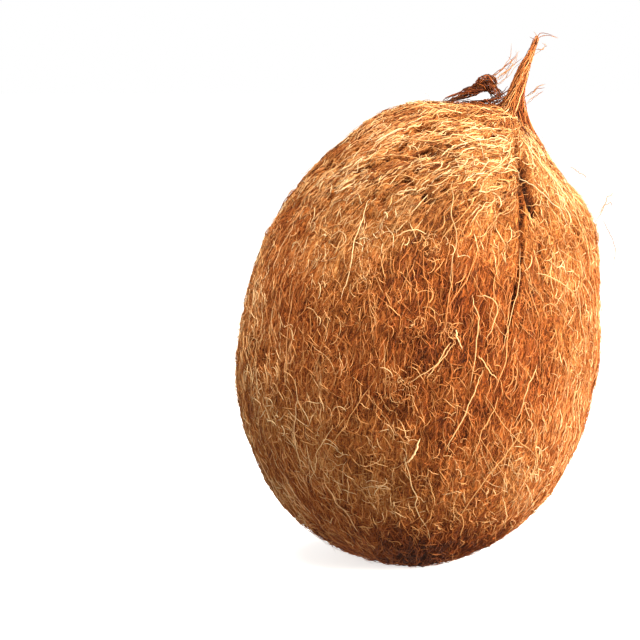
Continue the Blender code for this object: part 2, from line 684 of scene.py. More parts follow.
# Broad areas of the front, paler or darker: partly the coat's own colour, partly painted light, with
# painted highlights on the upper part and the right and painted shade on the middle and the bottom.
FRONT_TONES_AND_PAINTED_LIGHT = (
    ToneAndPaintedLight((2.0, 0.0), 22 * MM, -0.14),
    ToneAndPaintedLight((38.0, 2.0), 18 * MM, -0.07),
    ToneAndPaintedLight((8.0, -24.0), 18 * MM, -0.07),
    ToneAndPaintedLight((2.0, -68.0), 20 * MM, -0.16),
    ToneAndPaintedLight((-8.0, 14.0), 18 * MM, -0.04),
    ToneAndPaintedLight((38.0, 56.0), 15 * MM, 0.12),
    ToneAndPaintedLight((46.0, 32.0), 10 * MM, -0.06),
    ToneAndPaintedLight((54.0, 4.0), 16 * MM, 0.06),
    ToneAndPaintedLight((44.0, -38.0), 20 * MM, 0.08),
    ToneAndPaintedLight((-6.0, 66.0), 18 * MM, 0.10),
    ToneAndPaintedLight((-24.0, 50.0), 16 * MM, 0.10),
    ToneAndPaintedLight((16.0, 56.0), 13 * MM, 0.06),
    ToneAndPaintedLight((-1.0, 37.0), 12 * MM, 0.08),
)


@dataclass(frozen=True)
class Groove:
    """A slit or seam on the nut's front: its path in millimetres, right of and above the middle."""

    path: tuple[tuple[float, float], ...]
    width: float
    depth: float


FRONT_GROOVES = (
    Groove(((13.5, 68.0), (18.6, 67.6), (23.7, 69.2), (26.0, 71.0)), 1.8 * MM, 0.9),
    Groove(((31.8, 51.5), (33.4, 43.5), (35.2, 37.4)), 2.8 * MM, 1.0),
    Groove(((29.4, 64.0), (30.6, 52.0), (31.4, 38.0), (30.8, 19.0), (26.0, -3.2)), 1.7 * MM, 0.7),
    Groove(((38.2, 29.5), (37.2, 25.0), (38.4, 20.5)), 2.2 * MM, 0.55),
    Groove(((-2.4, 56.0), (0.6, 57.4), (3.4, 55.8)), 2.4 * MM, 0.8),
    Groove(((47.2, 33.0), (50.0, 29.5)), 2.2 * MM, 0.7),
    Groove(((-7.0, 61.0), (1.0, 63.5), (8.0, 62.5)), 1.6 * MM, 0.5),
    Groove(((-16.0, 52.0), (-9.0, 55.0), (-4.0, 54.0)), 1.6 * MM, 0.45),
)


@dataclass
class CoirCoat:
    """The mat that hugs the shell: the nut's whole skin, with its relief.

    The blank carries what the fibres read: which way they run (flow), the coordinates of the
    streaks (streak), how dark or pale they are, with painted shade and painted highlights in it
    (shade), how ashen (ash), how matted (matting), the depth of the slits and seams (groove), and
    how thick the fibres grow all over (cover) and on the crown alone (crown).
    """

    shape: NutShape
    cuts: int = 126
    lump_size: float = 24 * MM
    lump_height: float = 1.3 * MM
    clump_size: float = 5.0 * MM
    clump_height: float = 1.0 * MM
    comb_size: float = 1.6 * MM
    comb_height: float = 0.5 * MM
    seam_width: float = 1.8 * MM
    groove_depth: float = 2.8 * MM
    streak_stretch: float = 0.16
    back_seams: tuple[float, ...] = (math.radians(150), math.radians(-95))
    front_grooves: tuple[Groove, ...] = FRONT_GROOVES
    tones_and_painted_light: tuple[ToneAndPaintedLight, ...] = FRONT_TONES_AND_PAINTED_LIGHT
    finish: CoirMat = field(default_factory=CoirMat)

    def blank(self) -> bpy.types.Mesh:
        """A cube of even squares, blown up to a sphere and shaped to the nut, with its maps."""
        shape = bmesh.new()
        bmesh.ops.create_cube(shape, size=2.0)
        bmesh.ops.subdivide_edges(shape, edges=shape.edges[:], cuts=self.cuts, use_grid_fill=True)
        mesh = bpy.data.meshes.new("coat_blank")
        shape.to_mesh(mesh)
        shape.free()
        cube = np.empty(len(mesh.vertices) * 3)
        mesh.vertices.foreach_get("co", cube)
        directions = unit(np.tan(cube.reshape(-1, 3) * math.pi / 4))
        points = self.shape.surface(directions)
        mesh.vertices.foreach_set("co", points.ravel())
        mesh.update()
        mesh.shade_smooth()
        self.write_maps(mesh, points)
        return mesh

    def write_maps(self, mesh: bpy.types.Mesh, points: np.ndarray) -> None:
        """Store the maps that the relief and the fibres read.

        Args:
            mesh: The blank.
            points: Its points.
        """
        shape = self.shape
        normals = np.empty(len(points) * 3)
        mesh.vertex_normals.foreach_get("vector", normals)
        normals = normals.reshape(-1, 3)
        down, around = shape.polar(points)
        sideways = np.cross(shape.pole, points - shape.fibre_centre)
        away = unit(np.cross(sideways, normals))
        radius = shape.width / 2
        streak = np.stack(
            [
                radius * np.cos(around),
                radius * np.sin(around),
                radius * down * self.streak_stretch,
            ],
            axis=1,
        )
        from_middle = points - shape.middle
        seam_left = smooth_step(-from_middle[:, 0], -30 * MM, -22 * MM)
        sweep = 0.85 * seam_left * smooth_step(from_middle[:, 2], 30 * MM, 52 * MM)
        leftward = np.array([-1.0, 0.0, -0.30])
        leftward = unit(leftward - normals * (normals @ leftward)[:, None])
        flow = unit(away * (1 - sweep)[:, None] + leftward * sweep[:, None])
        swell = waviness(points / (14 * MM))
        drift = waviness(points / (34 * MM) + np.array([7, 3, 1]))
        groove = np.maximum(self.grooves(points), self.cracks(points, sweep))
        # Painted shade: the shade map is darker in the slits, seams and cracks, besides their sunken
        # relief.
        shade = 0.55 + 0.13 * swell + 0.08 * drift - 0.45 * groove
        # Painted shade: darker towards the bottom, where the nut stands on the floor.
        shade -= 0.20 * smooth_step(-points[:, 2], -24 * MM, -1 * MM)
        # Painted highlights and painted shade, mixed with the coat's own paler and darker areas, from the
        # front's broad areas.
        for tone_and_light in self.tones_and_painted_light:
            centre = shape.front_points(np.array([tone_and_light.place]) * MM)[0]
            off = ((points - centre) ** 2).sum(axis=1)
            shade += tone_and_light.strength * np.exp(-off / tone_and_light.radius**2)
        patch = shape.front_points(np.array([[-1 * MM, 37 * MM]]))[0]
        ash = 0.95 * np.exp(-(((points - patch) ** 2).sum(axis=1)) / (12 * MM) ** 2)
        thin = np.maximum(groove, 0.75 * ash)
        crown = smooth_step(from_middle[:, 2], 20 * MM, 60 * MM)
        ash = np.clip(0.28 + 0.40 * drift + 0.30 * crown + ash, 0, 1)
        matting = np.clip(0.9 + 1.0 * drift, 0.4, 1.8)
        self.store(mesh, "flow", flow)
        self.store(mesh, "streak", streak)
        self.store(mesh, "shade", shade)
        self.store(mesh, "ash", ash)
        self.store(mesh, "matting", matting)
        self.store(mesh, "groove", groove)
        self.store(mesh, "cover", 1 - thin)
        self.store(mesh, "crown", (1 - thin) * sweep)

    def cracks(self, points: np.ndarray, crown: np.ndarray) -> np.ndarray:
        """How deep the wavy cracks are, which run level between the mats on the crown.

        Args:
            points: The blank's points.
            crown: How far each point belongs to the crown, from 0 to 1.

        Returns:
            The depth at each point, from 0 to 1.
        """
        bend = waviness(points / (8 * MM))
        level = points / (np.array([9.0, 3.2, 3.2]) * MM) + 1.1 * bend[:, None]
        lines = np.exp(-((waviness(level) / 0.15) ** 2))
        broken = smooth_step(waviness(points / (5 * MM) + 5), -0.15, 0.25)
        return 0.8 * lines * broken * (0.10 + 0.90 * crown)

    def grooves(self, points: np.ndarray) -> np.ndarray:
        """How deep the slits and seams are.

        Args:
            points: The blank's points.

        Returns:
            The depth at each point, from 0 to 1.
        """
        shape = self.shape
        depth = np.zeros(len(points))
        for groove in self.front_grooves:
            path = shape.front_points(smooth_path(np.array(groove.path) * MM, 24))
            depth = np.maximum(depth, groove.depth * nearness(points, path, groove.width))
        for turn in self.back_seams:
            down = np.linspace(0.3, 1.9, 40)
            around = turn + 0.06 * np.sin(down * 5)
            path = shape.at_polar(down, around)
            depth = np.maximum(depth, 0.6 * nearness(points, path, self.seam_width))
        return depth

    @staticmethod
    def store(mesh: bpy.types.Mesh, name: str, values: np.ndarray) -> None:
        """Store one value or one vector for each vertex under a name."""
        if values.ndim == 2:
            layer = mesh.attributes.new(name, "FLOAT_VECTOR", "POINT")
            layer.data.foreach_set("vector", values.astype(np.float32).ravel())
        else:
            layer = mesh.attributes.new(name, "FLOAT", "POINT")
            layer.data.foreach_set("value", values.astype(np.float32))

    @staticmethod
    def relief_tree() -> bpy.types.NodeTree:
        """The tree that raises lumps, clumps and combed ridges and sinks the seams."""
        length = "NodeSocketFloat"
        tree = new_geometry_tree(
            "coat_relief",
            {
                "Lump size": (length, 0.02),
                "Lump height": (length, 0.001),
                "Clump size": (length, 0.005),
                "Clump height": (length, 0.001),
                "Comb size": (length, 0.001),
                "Comb height": (length, 0.001),
                "Groove depth": (length, 0.001),
                "Material": ("NodeSocketMaterial", None),
            },
        )
        given = add_node(tree, "NodeGroupInput").outputs
        place = add_node(tree, "GeometryNodeInputPosition")
        streak = add_node(
            tree, "GeometryNodeInputNamedAttribute", {"Name": "streak"}, data_type="FLOAT_VECTOR"
        )
        groove = add_node(
            tree, "GeometryNodeInputNamedAttribute", {"Name": "groove"}, data_type="FLOAT"
        )
        height: Any = add_node(
            tree,
            "ShaderNodeMath",
            {0: groove, 1: given["Groove depth"]},
            operation="MULTIPLY",
        )
        height = add_node(tree, "ShaderNodeMath", {0: height, 1: -1.0}, operation="MULTIPLY")
        for source, layer in ((place, "Lump"), (streak, "Clump"), (streak, "Comb")):
            often = add_node(
                tree, "ShaderNodeMath", {0: 1.0, 1: given[layer + " size"]}, operation="DIVIDE"
            )
            waves = add_node(
                tree, "ShaderNodeTexNoise", {"Vector": source, "Scale": often, "Detail": 2.0}
            )
            level = add_node(tree, "ShaderNodeMath", {0: waves, 1: 0.5}, operation="SUBTRACT")
            double = add_node(
                tree,
                "ShaderNodeMath",
                {0: given[layer + " height"], 1: 2.0},
                operation="MULTIPLY",
            )
            height = add_node(
                tree, "ShaderNodeMath", {0: level, 1: double, 2: height}, operation="MULTIPLY_ADD"
            )
        normal = add_node(tree, "GeometryNodeInputNormal")
        shift = add_node(
            tree, "ShaderNodeVectorMath", {0: normal, "Scale": height}, operation="SCALE"
        )
        moved = add_node(
            tree, "GeometryNodeSetPosition", {"Geometry": given["Geometry"], "Offset": shift}
        )
        whole = add_node(tree, "GeometryNodeRealizeInstances", {"Geometry": moved})
        dressed = add_node(
            tree, "GeometryNodeSetMaterial", {"Geometry": whole, "Material": given["Material"]}
        )
        add_node(tree, "NodeGroupOutput", {"Geometry": dressed})
        return tree

    def build(self) -> bpy.types.Object:
        """Make the coat.

        Returns:
            The coat, which stands for the frame's nut.
        """
        mesh = grown_mesh(
            "coir_coat",
            self.blank(),
            self.relief_tree(),
            {
                "Lump size": self.lump_size,
                "Lump height": self.lump_height,
                "Clump size": self.clump_size,
                "Clump height": self.clump_height,
                "Comb size": self.comb_size,
                "Comb height": self.comb_height,
                "Groove depth": self.groove_depth,
                "Material": self.finish.material(),
            },
        )
        points = np.empty(len(mesh.vertices) * 3)
        mesh.vertices.foreach_get("co", points)
        points = points.reshape(-1, 3)
        points[:, 2] = np.maximum(points[:, 2], 0.1 * MM)
        mesh.vertices.foreach_set("co", points.ravel())
        mesh.update()
        coat = place_piece("coir_coat", mesh)
        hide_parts(NUT_NODE)
        return coat


# ----------------------------------------------------------------------------------------------
# Fibres
# ----------------------------------------------------------------------------------------------


@dataclass(frozen=True)
class FibreLayer:
    """One layer of fibres over the coat, with the sizes of its hairs in metres."""

    name: str
    lie: Lie
    per_square_metre: float
    shortest: float
    longest: float
    thickness: float
    seed: int
    knots: int = 8
    sides: int = 3
    spread: float = 0.35
    swirl: float = 0.5
    wave: float = 0.8 * MM
    wave_length: float = 8 * MM
    curl: float = 0.0
    curl_turns: float = 1.5
    sink: float = -0.15 * MM
    rise: float = 0.7 * MM
    dip_length: float = 5 * MM
    tip_lift: float = 0.0
    shade_shift: float = 0.0
    shade_spread: float = 0.3
    region: str = "cover"

    def inputs(self, material: bpy.types.Material) -> dict[str, Any]:
        """The value of each named input of the fibre tree."""
        return {
            "Region": self.region,
            "Fibres per m2": self.per_square_metre,
            "Seed": self.seed,
            "Shortest": self.shortest,
            "Longest": self.longest,
            "Thickness": self.thickness,
            "Knots": self.knots,
            "Sides": self.sides,
            "Spread": self.spread,
            "Swirl": self.swirl,
            "Wave": self.wave,
            "Wave length": self.wave_length,
            "Curl": self.curl,
            "Curl turns": self.curl_turns,
            "Sink": self.sink,
            "Rise": self.rise,
            "Dip length": self.dip_length,
            "Tip lift": self.tip_lift,
            "Shade shift": self.shade_shift,
            "Shade spread": self.shade_spread,
            "Material": material,
        }


@dataclass
class FibreCoat:
    """Every layer of fibres that lies on the coat, grown on it by one tree."""

    coat: bpy.types.Object
    material: bpy.types.Material
    layers: tuple[FibreLayer, ...]

    @staticmethod
    def tree_inputs() -> dict[str, tuple[str, Any]]:
        """The names, kinds and first values of the fibre tree's inputs."""
        number = "NodeSocketFloat"
        whole = "NodeSocketInt"
        return {
            "Region": ("NodeSocketString", "cover"),
            "Fibres per m2": (number, 1000.0),
            "Seed": (whole, 0),
            "Shortest": (number, 0.01),
            "Longest": (number, 0.02),
            "Thickness": (number, 0.0004),
            "Knots": (whole, 8),
            "Sides": (whole, 3),
            "Spread": (number, 0.3),
            "Swirl": (number, 0.3),
            "Wave": (number, 0.001),
            "Wave length": (number, 0.01),
            "Curl": (number, 0.0),
            "Curl turns": (number, 1.0),
            "Sink": (number, 0.0),
            "Rise": (number, 0.0005),
            "Dip length": (number, 0.005),
            "Tip lift": (number, 0.0),
            "Shade shift": (number, 0.0),
            "Shade spread": (number, 0.2),
            "Material": ("NodeSocketMaterial", None),
        }

    @classmethod
    def tree(cls) -> bpy.types.NodeTree:
        """The tree that grows fibres: roots, then lines, then waves, then tubes."""
        tree = new_geometry_tree("fibre_layer", cls.tree_inputs())
        given = add_node(tree, "NodeGroupInput").outputs
        roots = cls.grow_roots(tree, given)
        lines = cls.lay_lines(tree, given, roots)
        waved = cls.wave_lines(tree, given, lines)
        settled = cls.settle_lines(tree, given, waved)
        tubes = make_tubes(tree, given, settled)
        add_node(tree, "NodeGroupOutput", {"Geometry": tubes})
        return tree

    @staticmethod
    def grow_roots(tree: bpy.types.NodeTree, given: Any) -> bpy.types.Node:
        """Scatter the roots and give each its own luck, heading, length and shade.

        Args:
            tree: The tree.
            given: The tree's inputs, as sockets.

        Returns:
            The node that gives the roots.
        """
        share = add_node(
            tree, "GeometryNodeInputNamedAttribute", {"Name": given["Region"]}, data_type="FLOAT"
        )
        density = add_node(
            tree,
            "ShaderNodeMapRange",
            {"Value": share, "To Min": 0.0, "To Max": given["Fibres per m2"]},
        )
        roots: Any = add_node(
            tree,
            "GeometryNodeDistributePointsOnFaces",
            {"Mesh": given["Geometry"], "Density": density, "Seed": given["Seed"]},
        )
        normal = roots.outputs["Normal"]
        luck = add_node(
            tree,
            "FunctionNodeRandomValue",
            {0: (0, 0, 0), 1: (1, 1, 1), "Seed": given["Seed"]},
            data_type="FLOAT_VECTOR",
        )
        later = add_node(tree, "ShaderNodeMath", {0: given["Seed"], 1: 77.0}, operation="ADD")
        chance = add_node(
            tree, "FunctionNodeRandomValue", {2: 0.0, 3: 1.0, "Seed": later}, data_type="FLOAT"
        )
        maps = {
            name: add_node(
                tree, "GeometryNodeInputNamedAttribute", {"Name": name}, data_type="FLOAT"
            )
            for name in ("shade", "ash", "matting")
        }
        flow = add_node(
            tree, "GeometryNodeInputNamedAttribute", {"Name": "flow"}, data_type="FLOAT_VECTOR"
        )
        place = add_node(tree, "GeometryNodeInputPosition")
        swirl = add_node(
            tree, "ShaderNodeTexNoise", {"Vector": place, "Scale": 1 / 0.022, "Detail": 1.0}
        )
        swirl = add_node(tree, "ShaderNodeMath", {0: swirl, 1: 0.5}, operation="SUBTRACT")
        swirl = add_node(
            tree, "ShaderNodeMath", {0: swirl, 1: given["Swirl"]}, operation="MULTIPLY"
        )
        bell = add_node(tree, "ShaderNodeVectorMath", {0: luck, 1: (1, 1, 1)}, operation="DOT_PRODUCT")
        bell = add_node(
            tree, "ShaderNodeMath", {0: bell.outputs["Value"], 1: 1.5}, operation="SUBTRACT"
        )
        bell = add_node(
            tree, "ShaderNodeMath", {0: bell, 1: given["Spread"]}, operation="MULTIPLY"
        )
        turn = add_node(
            tree,
            "ShaderNodeMath",
            {0: bell, 1: maps["matting"], 2: swirl},
            operation="MULTIPLY_ADD",
        )
        heading = add_node(
            tree,
            "ShaderNodeVectorRotate",
            {"Vector": flow, "Axis": normal, "Angle": turn},
            rotation_type="AXIS_ANGLE",
        )
        reach = add_node(
            tree,
            "ShaderNodeMapRange",
            {"Value": chance, "To Min": given["Shortest"], "To Max": given["Longest"]},
        )
        parts = add_node(tree, "ShaderNodeSeparateXYZ", {"Vector": luck})
        uneven = add_node(
            tree, "ShaderNodeMath", {0: parts.outputs["X"], 1: 0.5}, operation="SUBTRACT"
        )
        # The fibre's shade comes from the coat's shade map, its painted shade and painted highlights
        # included.
        shade = add_node(
            tree, "ShaderNodeMath", {0: maps["shade"], 1: given["Shade shift"]}, operation="ADD"
        )
        shade = add_node(
            tree,
            "ShaderNodeMath",
            {0: uneven, 1: given["Shade spread"], 2: shade},
            operation="MULTIPLY_ADD",
            use_clamp=True,
        )
        off_hue = add_node(
            tree, "ShaderNodeMath", {0: parts.outputs["Y"], 1: 0.5}, operation="SUBTRACT"
        )
        hue = add_node(
            tree,
            "ShaderNodeMath",
            {0: off_hue, 1: 0.6, 2: maps["ash"]},
            operation="MULTIPLY_ADD",
            use_clamp=True,
        )
        girth = add_node(
            tree,
            "ShaderNodeMapRange",
            {"Value": parts.outputs["X"], "To Min": 0.5, "To Max": 1.4},
        )
        kept = {
            "girth": ("FLOAT", girth),
            "root_normal": ("FLOAT_VECTOR", normal),
            "luck": ("FLOAT_VECTOR", luck),
            "heading": ("FLOAT_VECTOR", heading),
            "reach": ("FLOAT", reach),
            "tint": ("FLOAT", shade),
            "hue": ("FLOAT", hue),
        }
        for name, (kind, value) in kept.items():
            roots = add_node(
                tree,
                "GeometryNodeStoreNamedAttribute",
                {"Geometry": roots, "Name": name, "Value": value},
                data_type=kind,
                domain="POINT",
            )
        return roots

    @staticmethod
    def lay_lines(tree: bpy.types.NodeTree, given: Any, roots: bpy.types.Node) -> bpy.types.Node:
        """Lay a straight line along each root's heading.

        Args:
            tree: The tree.
            given: The tree's inputs, as sockets.
            roots: The node that gives the roots.

        Returns:
            The node that gives the lines, as curves.
        """
        line = add_node(
            tree, "GeometryNodeCurvePrimitiveLine", {"Start": (0, 0, -0.5), "End": (0, 0, 0.5)}
        )
        line = add_node(
            tree, "GeometryNodeResampleCurve", {"Curve": line, "Count": given["Knots"]}
        )
        heading = add_node(
            tree, "GeometryNodeInputNamedAttribute", {"Name": "heading"}, data_type="FLOAT_VECTOR"
        )
        normal = add_node(
            tree,
            "GeometryNodeInputNamedAttribute",
            {"Name": "root_normal"},
            data_type="FLOAT_VECTOR",
        )
        reach = add_node(
            tree, "GeometryNodeInputNamedAttribute", {"Name": "reach"}, data_type="FLOAT"
        )
        turn = add_node(
            tree,
            "FunctionNodeAxesToRotation",
            {"Primary Axis": heading, "Secondary Axis": normal},
            primary_axis="Z",
            secondary_axis="X",
        )
        size = add_node(tree, "ShaderNodeCombineXYZ", {"X": 1.0, "Y": 1.0, "Z": reach})
        laid = add_node(
            tree,
            "GeometryNodeInstanceOnPoints",
            {"Points": roots, "Instance": line, "Rotation": turn, "Scale": size},
        )
        lines = add_node(tree, "GeometryNodeRealizeInstances", {"Geometry": laid})
        along = add_node(tree, "GeometryNodeSplineParameter")
        return add_node(
            tree,
            "GeometryNodeStoreNamedAttribute",
            {"Geometry": lines, "Name": "along", "Value": along.outputs["Factor"]},
            data_type="FLOAT",
            domain="POINT",
        )

    @staticmethod
    def wave_lines(tree: bpy.types.NodeTree, given: Any, lines: bpy.types.Node) -> bpy.types.Node:
        """Push each line sideways in waves and curls of its own.

        Args:
            tree: The tree.
            given: The tree's inputs, as sockets.
            lines: The node that gives the lines.

        Returns:
            The node that gives the waved lines.
        """
        vectors = {
            name: add_node(
                tree, "GeometryNodeInputNamedAttribute", {"Name": name}, data_type="FLOAT_VECTOR"
            )
            for name in ("heading", "root_normal", "luck")
        }
        along = add_node(
            tree, "GeometryNodeInputNamedAttribute", {"Name": "along"}, data_type="FLOAT"
        )
        reach = add_node(
            tree, "GeometryNodeInputNamedAttribute", {"Name": "reach"}, data_type="FLOAT"
        )
        side = add_node(
            tree,
            "ShaderNodeVectorMath",
            {0: vectors["heading"], 1: vectors["root_normal"]},
            operation="CROSS_PRODUCT",
        )
        run = add_node(tree, "ShaderNodeMath", {0: along, 1: reach}, operation="MULTIPLY")
        run = add_node(
            tree, "ShaderNodeMath", {0: run, 1: given["Wave length"]}, operation="DIVIDE"
        )
        own = add_node(
            tree, "ShaderNodeVectorMath", {0: vectors["luck"], "Scale": 100.0}, operation="SCALE"
        )
        run = add_node(tree, "ShaderNodeCombineXYZ", {"X": run, "Y": 0.0, "Z": 0.0})
        spot = add_node(tree, "ShaderNodeVectorMath", {0: run, 1: own}, operation="ADD")
        waves = add_node(
            tree, "ShaderNodeTexNoise", {"Vector": spot, "Scale": 1.0, "Detail": 1.0}
        )
        parts = add_node(tree, "ShaderNodeSeparateXYZ", {"Vector": waves.outputs["Color"]})
        chance = add_node(tree, "ShaderNodeSeparateXYZ", {"Vector": vectors["luck"]})
        start = add_node(
            tree, "ShaderNodeMath", {0: chance.outputs["Z"], 1: 2 * math.pi}, operation="MULTIPLY"
        )
        turns = add_node(
            tree, "ShaderNodeMath", {0: given["Curl turns"], 1: 2 * math.pi}, operation="MULTIPLY"
        )
        angle = add_node(
            tree, "ShaderNodeMath", {0: along, 1: turns, 2: start}, operation="MULTIPLY_ADD"
        )
        offsets = []
        for part, trig, axis in (("X", "SINE", side), ("Y", "COSINE", vectors["heading"])):
            swing = add_node(
                tree, "ShaderNodeMath", {0: parts.outputs[part], 1: 0.5}, operation="SUBTRACT"
            )
            swing = add_node(tree, "ShaderNodeMath", {0: swing, 1: 4.0}, operation="MULTIPLY")
            loop = add_node(tree, "ShaderNodeMath", {0: angle}, operation=trig)
            loop = add_node(
                tree, "ShaderNodeMath", {0: loop, 1: given["Curl"]}, operation="MULTIPLY"
            )
            push = add_node(
                tree,
                "ShaderNodeMath",
                {0: swing, 1: given["Wave"], 2: loop},
                operation="MULTIPLY_ADD",
            )
            offsets.append(
                add_node(tree, "ShaderNodeVectorMath", {0: axis, "Scale": push}, operation="SCALE")
            )
        both = add_node(
            tree, "ShaderNodeVectorMath", {0: offsets[0], 1: offsets[1]}, operation="ADD"
        )
        return add_node(tree, "GeometryNodeSetPosition", {"Geometry": lines, "Offset": both})

    @staticmethod
    def settle_lines(tree: bpy.types.NodeTree, given: Any, lines: bpy.types.Node) -> bpy.types.Node:
        """Bring each line down onto the coat, a little in or above it, and above the ground.

        Args:
            tree: The tree.
            given: The tree's inputs, as sockets.
            lines: The node that gives the waved lines.

        Returns:
            The node that gives the settled lines.
        """
        along = add_node(
            tree, "GeometryNodeInputNamedAttribute", {"Name": "along"}, data_type="FLOAT"
        )
        luck = add_node(
            tree, "GeometryNodeInputNamedAttribute", {"Name": "luck"}, data_type="FLOAT_VECTOR"
        )
        nearest = add_node(
            tree, "GeometryNodeProximity", {"Geometry": given["Geometry"]}, target_element="FACES"
        )
        up = add_node(tree, "GeometryNodeInputNormal")
        up = add_node(
            tree,
            "GeometryNodeSampleNearestSurface",
            {"Mesh": given["Geometry"], "Value": up},
            data_type="FLOAT_VECTOR",
        )
        spot = add_node(
            tree,
            "ShaderNodeVectorMath",
            {0: luck, 1: (300, 200, 100)},
            operation="MULTIPLY",
        )
        reach = add_node(
            tree, "GeometryNodeInputNamedAttribute", {"Name": "reach"}, data_type="FLOAT"
        )
        run = add_node(tree, "ShaderNodeMath", {0: along, 1: reach}, operation="MULTIPLY")
        run = add_node(tree, "ShaderNodeMath", {0: run, 1: given["Dip length"]}, operation="DIVIDE")
        run = add_node(tree, "ShaderNodeCombineXYZ", {"X": 0.0, "Y": 0.0, "Z": run})
        spot = add_node(tree, "ShaderNodeVectorMath", {0: spot, 1: run}, operation="ADD")
        bob = add_node(tree, "ShaderNodeTexNoise", {"Vector": spot, "Scale": 1.0, "Detail": 0.0})
        lift: Any = add_node(
            tree,
            "ShaderNodeMapRange",
            {
                "Value": bob,
                "From Min": 0.3,
                "From Max": 0.7,
                "To Min": given["Sink"],
                "To Max": given["Rise"],
            },
        )
        groove = add_node(
            tree, "GeometryNodeInputNamedAttribute", {"Name": "groove"}, data_type="FLOAT"
        )
        groove = add_node(
            tree,
            "GeometryNodeSampleNearestSurface",
            {"Mesh": given["Geometry"], "Value": groove},
            data_type="FLOAT",
        )
        lift = add_node(
            tree, "ShaderNodeMath", {0: groove, 1: -1.2 * MM, 2: lift}, operation="MULTIPLY_ADD"
        )
        tip = add_node(tree, "ShaderNodeMath", {0: along, 1: 2.0}, operation="POWER")
        chance = add_node(tree, "ShaderNodeSeparateXYZ", {"Vector": luck})
        height = add_node(
            tree,
            "ShaderNodeMath",
            {0: chance.outputs["Y"], 1: given["Tip lift"]},
            operation="MULTIPLY",
        )
        lift = add_node(
            tree, "ShaderNodeMath", {0: tip, 1: height, 2: lift}, operation="MULTIPLY_ADD"
        )
        lifted = add_node(tree, "ShaderNodeVectorMath", {0: up, "Scale": lift}, operation="SCALE")
        place = add_node(tree, "ShaderNodeVectorMath", {0: nearest, 1: lifted}, operation="ADD")
        ground = add_node(
            tree,
            "ShaderNodeVectorMath",
            {0: place, 1: (-1.0, -1.0, 0.3 * MM)},
            operation="MAXIMUM",
        )
        return add_node(tree, "GeometryNodeSetPosition", {"Geometry": lines, "Position": ground})

    def build(self) -> list[bpy.types.Object]:
        """Grow every layer, as one piece each.

        Returns:
            The pieces.
        """
        tree = self.tree()
        pieces = []
        for layer in self.layers:
            mesh = grown_mesh(layer.name, self.coat.data, tree, layer.inputs(self.material))
            pieces.append(place_piece(layer.name, strip_maps(mesh)))
            LOG.info("%s: %s", layer.name, layer.lie.value)
        return pieces


def strip_maps(mesh: bpy.types.Mesh) -> bpy.types.Mesh:
    """Take the working maps off a fibre mesh and keep the one its material reads."""
    for name in [a.name for a in mesh.attributes if a.name not in (BAKE_MAP, "position")]:
        layer = mesh.attributes[name]
        if not layer.is_required and not layer.is_internal and not name.startswith("."):
            if name not in ("material_index", "sharp_face"):
                mesh.attributes.remove(layer)
    return mesh


def make_tubes(tree: bpy.types.NodeTree, given: Any, lines: bpy.types.Node) -> bpy.types.Node:
    """Turn lines into thin tapering tubes with a shade map, whole and dressed.

    Args:
        tree: The tree.
        given: The tree's inputs, as sockets, with Thickness, Sides and Material among them.
        lines: The node that gives the lines, which hold along, tint and hue.

    Returns:
        The node that gives the finished mesh.
    """
    values = {
        name: add_node(tree, "GeometryNodeInputNamedAttribute", {"Name": name}, data_type="FLOAT")
        for name in ("along", "tint", "hue", "girth", "around")
    }
    ends = add_node(
        tree, "ShaderNodeMath", {0: values["along"], 1: 2.0, 2: -1.0}, operation="MULTIPLY_ADD"
    )
    ends = add_node(tree, "ShaderNodeMath", {0: ends}, operation="ABSOLUTE")
    ends = add_node(tree, "ShaderNodeMath", {0: ends, 1: 4.0}, operation="POWER")
    taper = add_node(
        tree, "ShaderNodeMapRange", {"Value": ends, "To Min": 0.5, "To Max": 0.12}
    )
    width = add_node(
        tree, "ShaderNodeMath", {0: taper, 1: values["girth"]}, operation="MULTIPLY"
    )
    width = add_node(
        tree, "ShaderNodeMath", {0: width, 1: given["Thickness"]}, operation="MULTIPLY"
    )
    ring = add_node(
        tree, "GeometryNodeCurvePrimitiveCircle", {"Resolution": given["Sides"], "Radius": 1.0}
    )
    turn = add_node(tree, "GeometryNodeSplineParameter")
    ring = add_node(
        tree,
        "GeometryNodeStoreNamedAttribute",
        {"Geometry": ring, "Name": "around", "Value": turn.outputs["Factor"]},
        data_type="FLOAT",
        domain="POINT",
    )
    tubes = add_node(
        tree,
        "GeometryNodeCurveToMesh",
        {"Curve": lines, "Profile Curve": ring, "Scale": width, "Fill Caps": True},
    )
    across = add_node(
        tree,
        "ShaderNodeMapRange",
        {"Value": values["tint"], "To Min": 0.02, "To Max": 0.96},
    )
    across = add_node(
        tree, "ShaderNodeMath", {0: values["around"], 1: 0.015, 2: across}, operation="MULTIPLY_ADD"
    )
    upward = add_node(
        tree,
        "ShaderNodeMapRange",
        {"Value": values["hue"], "To Min": 0.02, "To Max": 0.9},
    )
    upward = add_node(
        tree, "ShaderNodeMath", {0: values["along"], 1: 0.07, 2: upward}, operation="MULTIPLY_ADD"
    )
    shade_map = add_node(tree, "ShaderNodeCombineXYZ", {"X": across, "Y": upward, "Z": 0.0})
    mapped = add_node(
        tree,
        "GeometryNodeStoreNamedAttribute",
        {"Geometry": tubes, "Name": BAKE_MAP, "Value": shade_map},
        data_type="FLOAT2",
        domain="CORNER",
    )
    smooth = add_node(tree, "GeometryNodeSetShadeSmooth", {"Geometry": mapped})
    whole = add_node(tree, "GeometryNodeRealizeInstances", {"Geometry": smooth})
    return add_node(
        tree, "GeometryNodeSetMaterial", {"Geometry": whole, "Material": given["Material"]}
    )


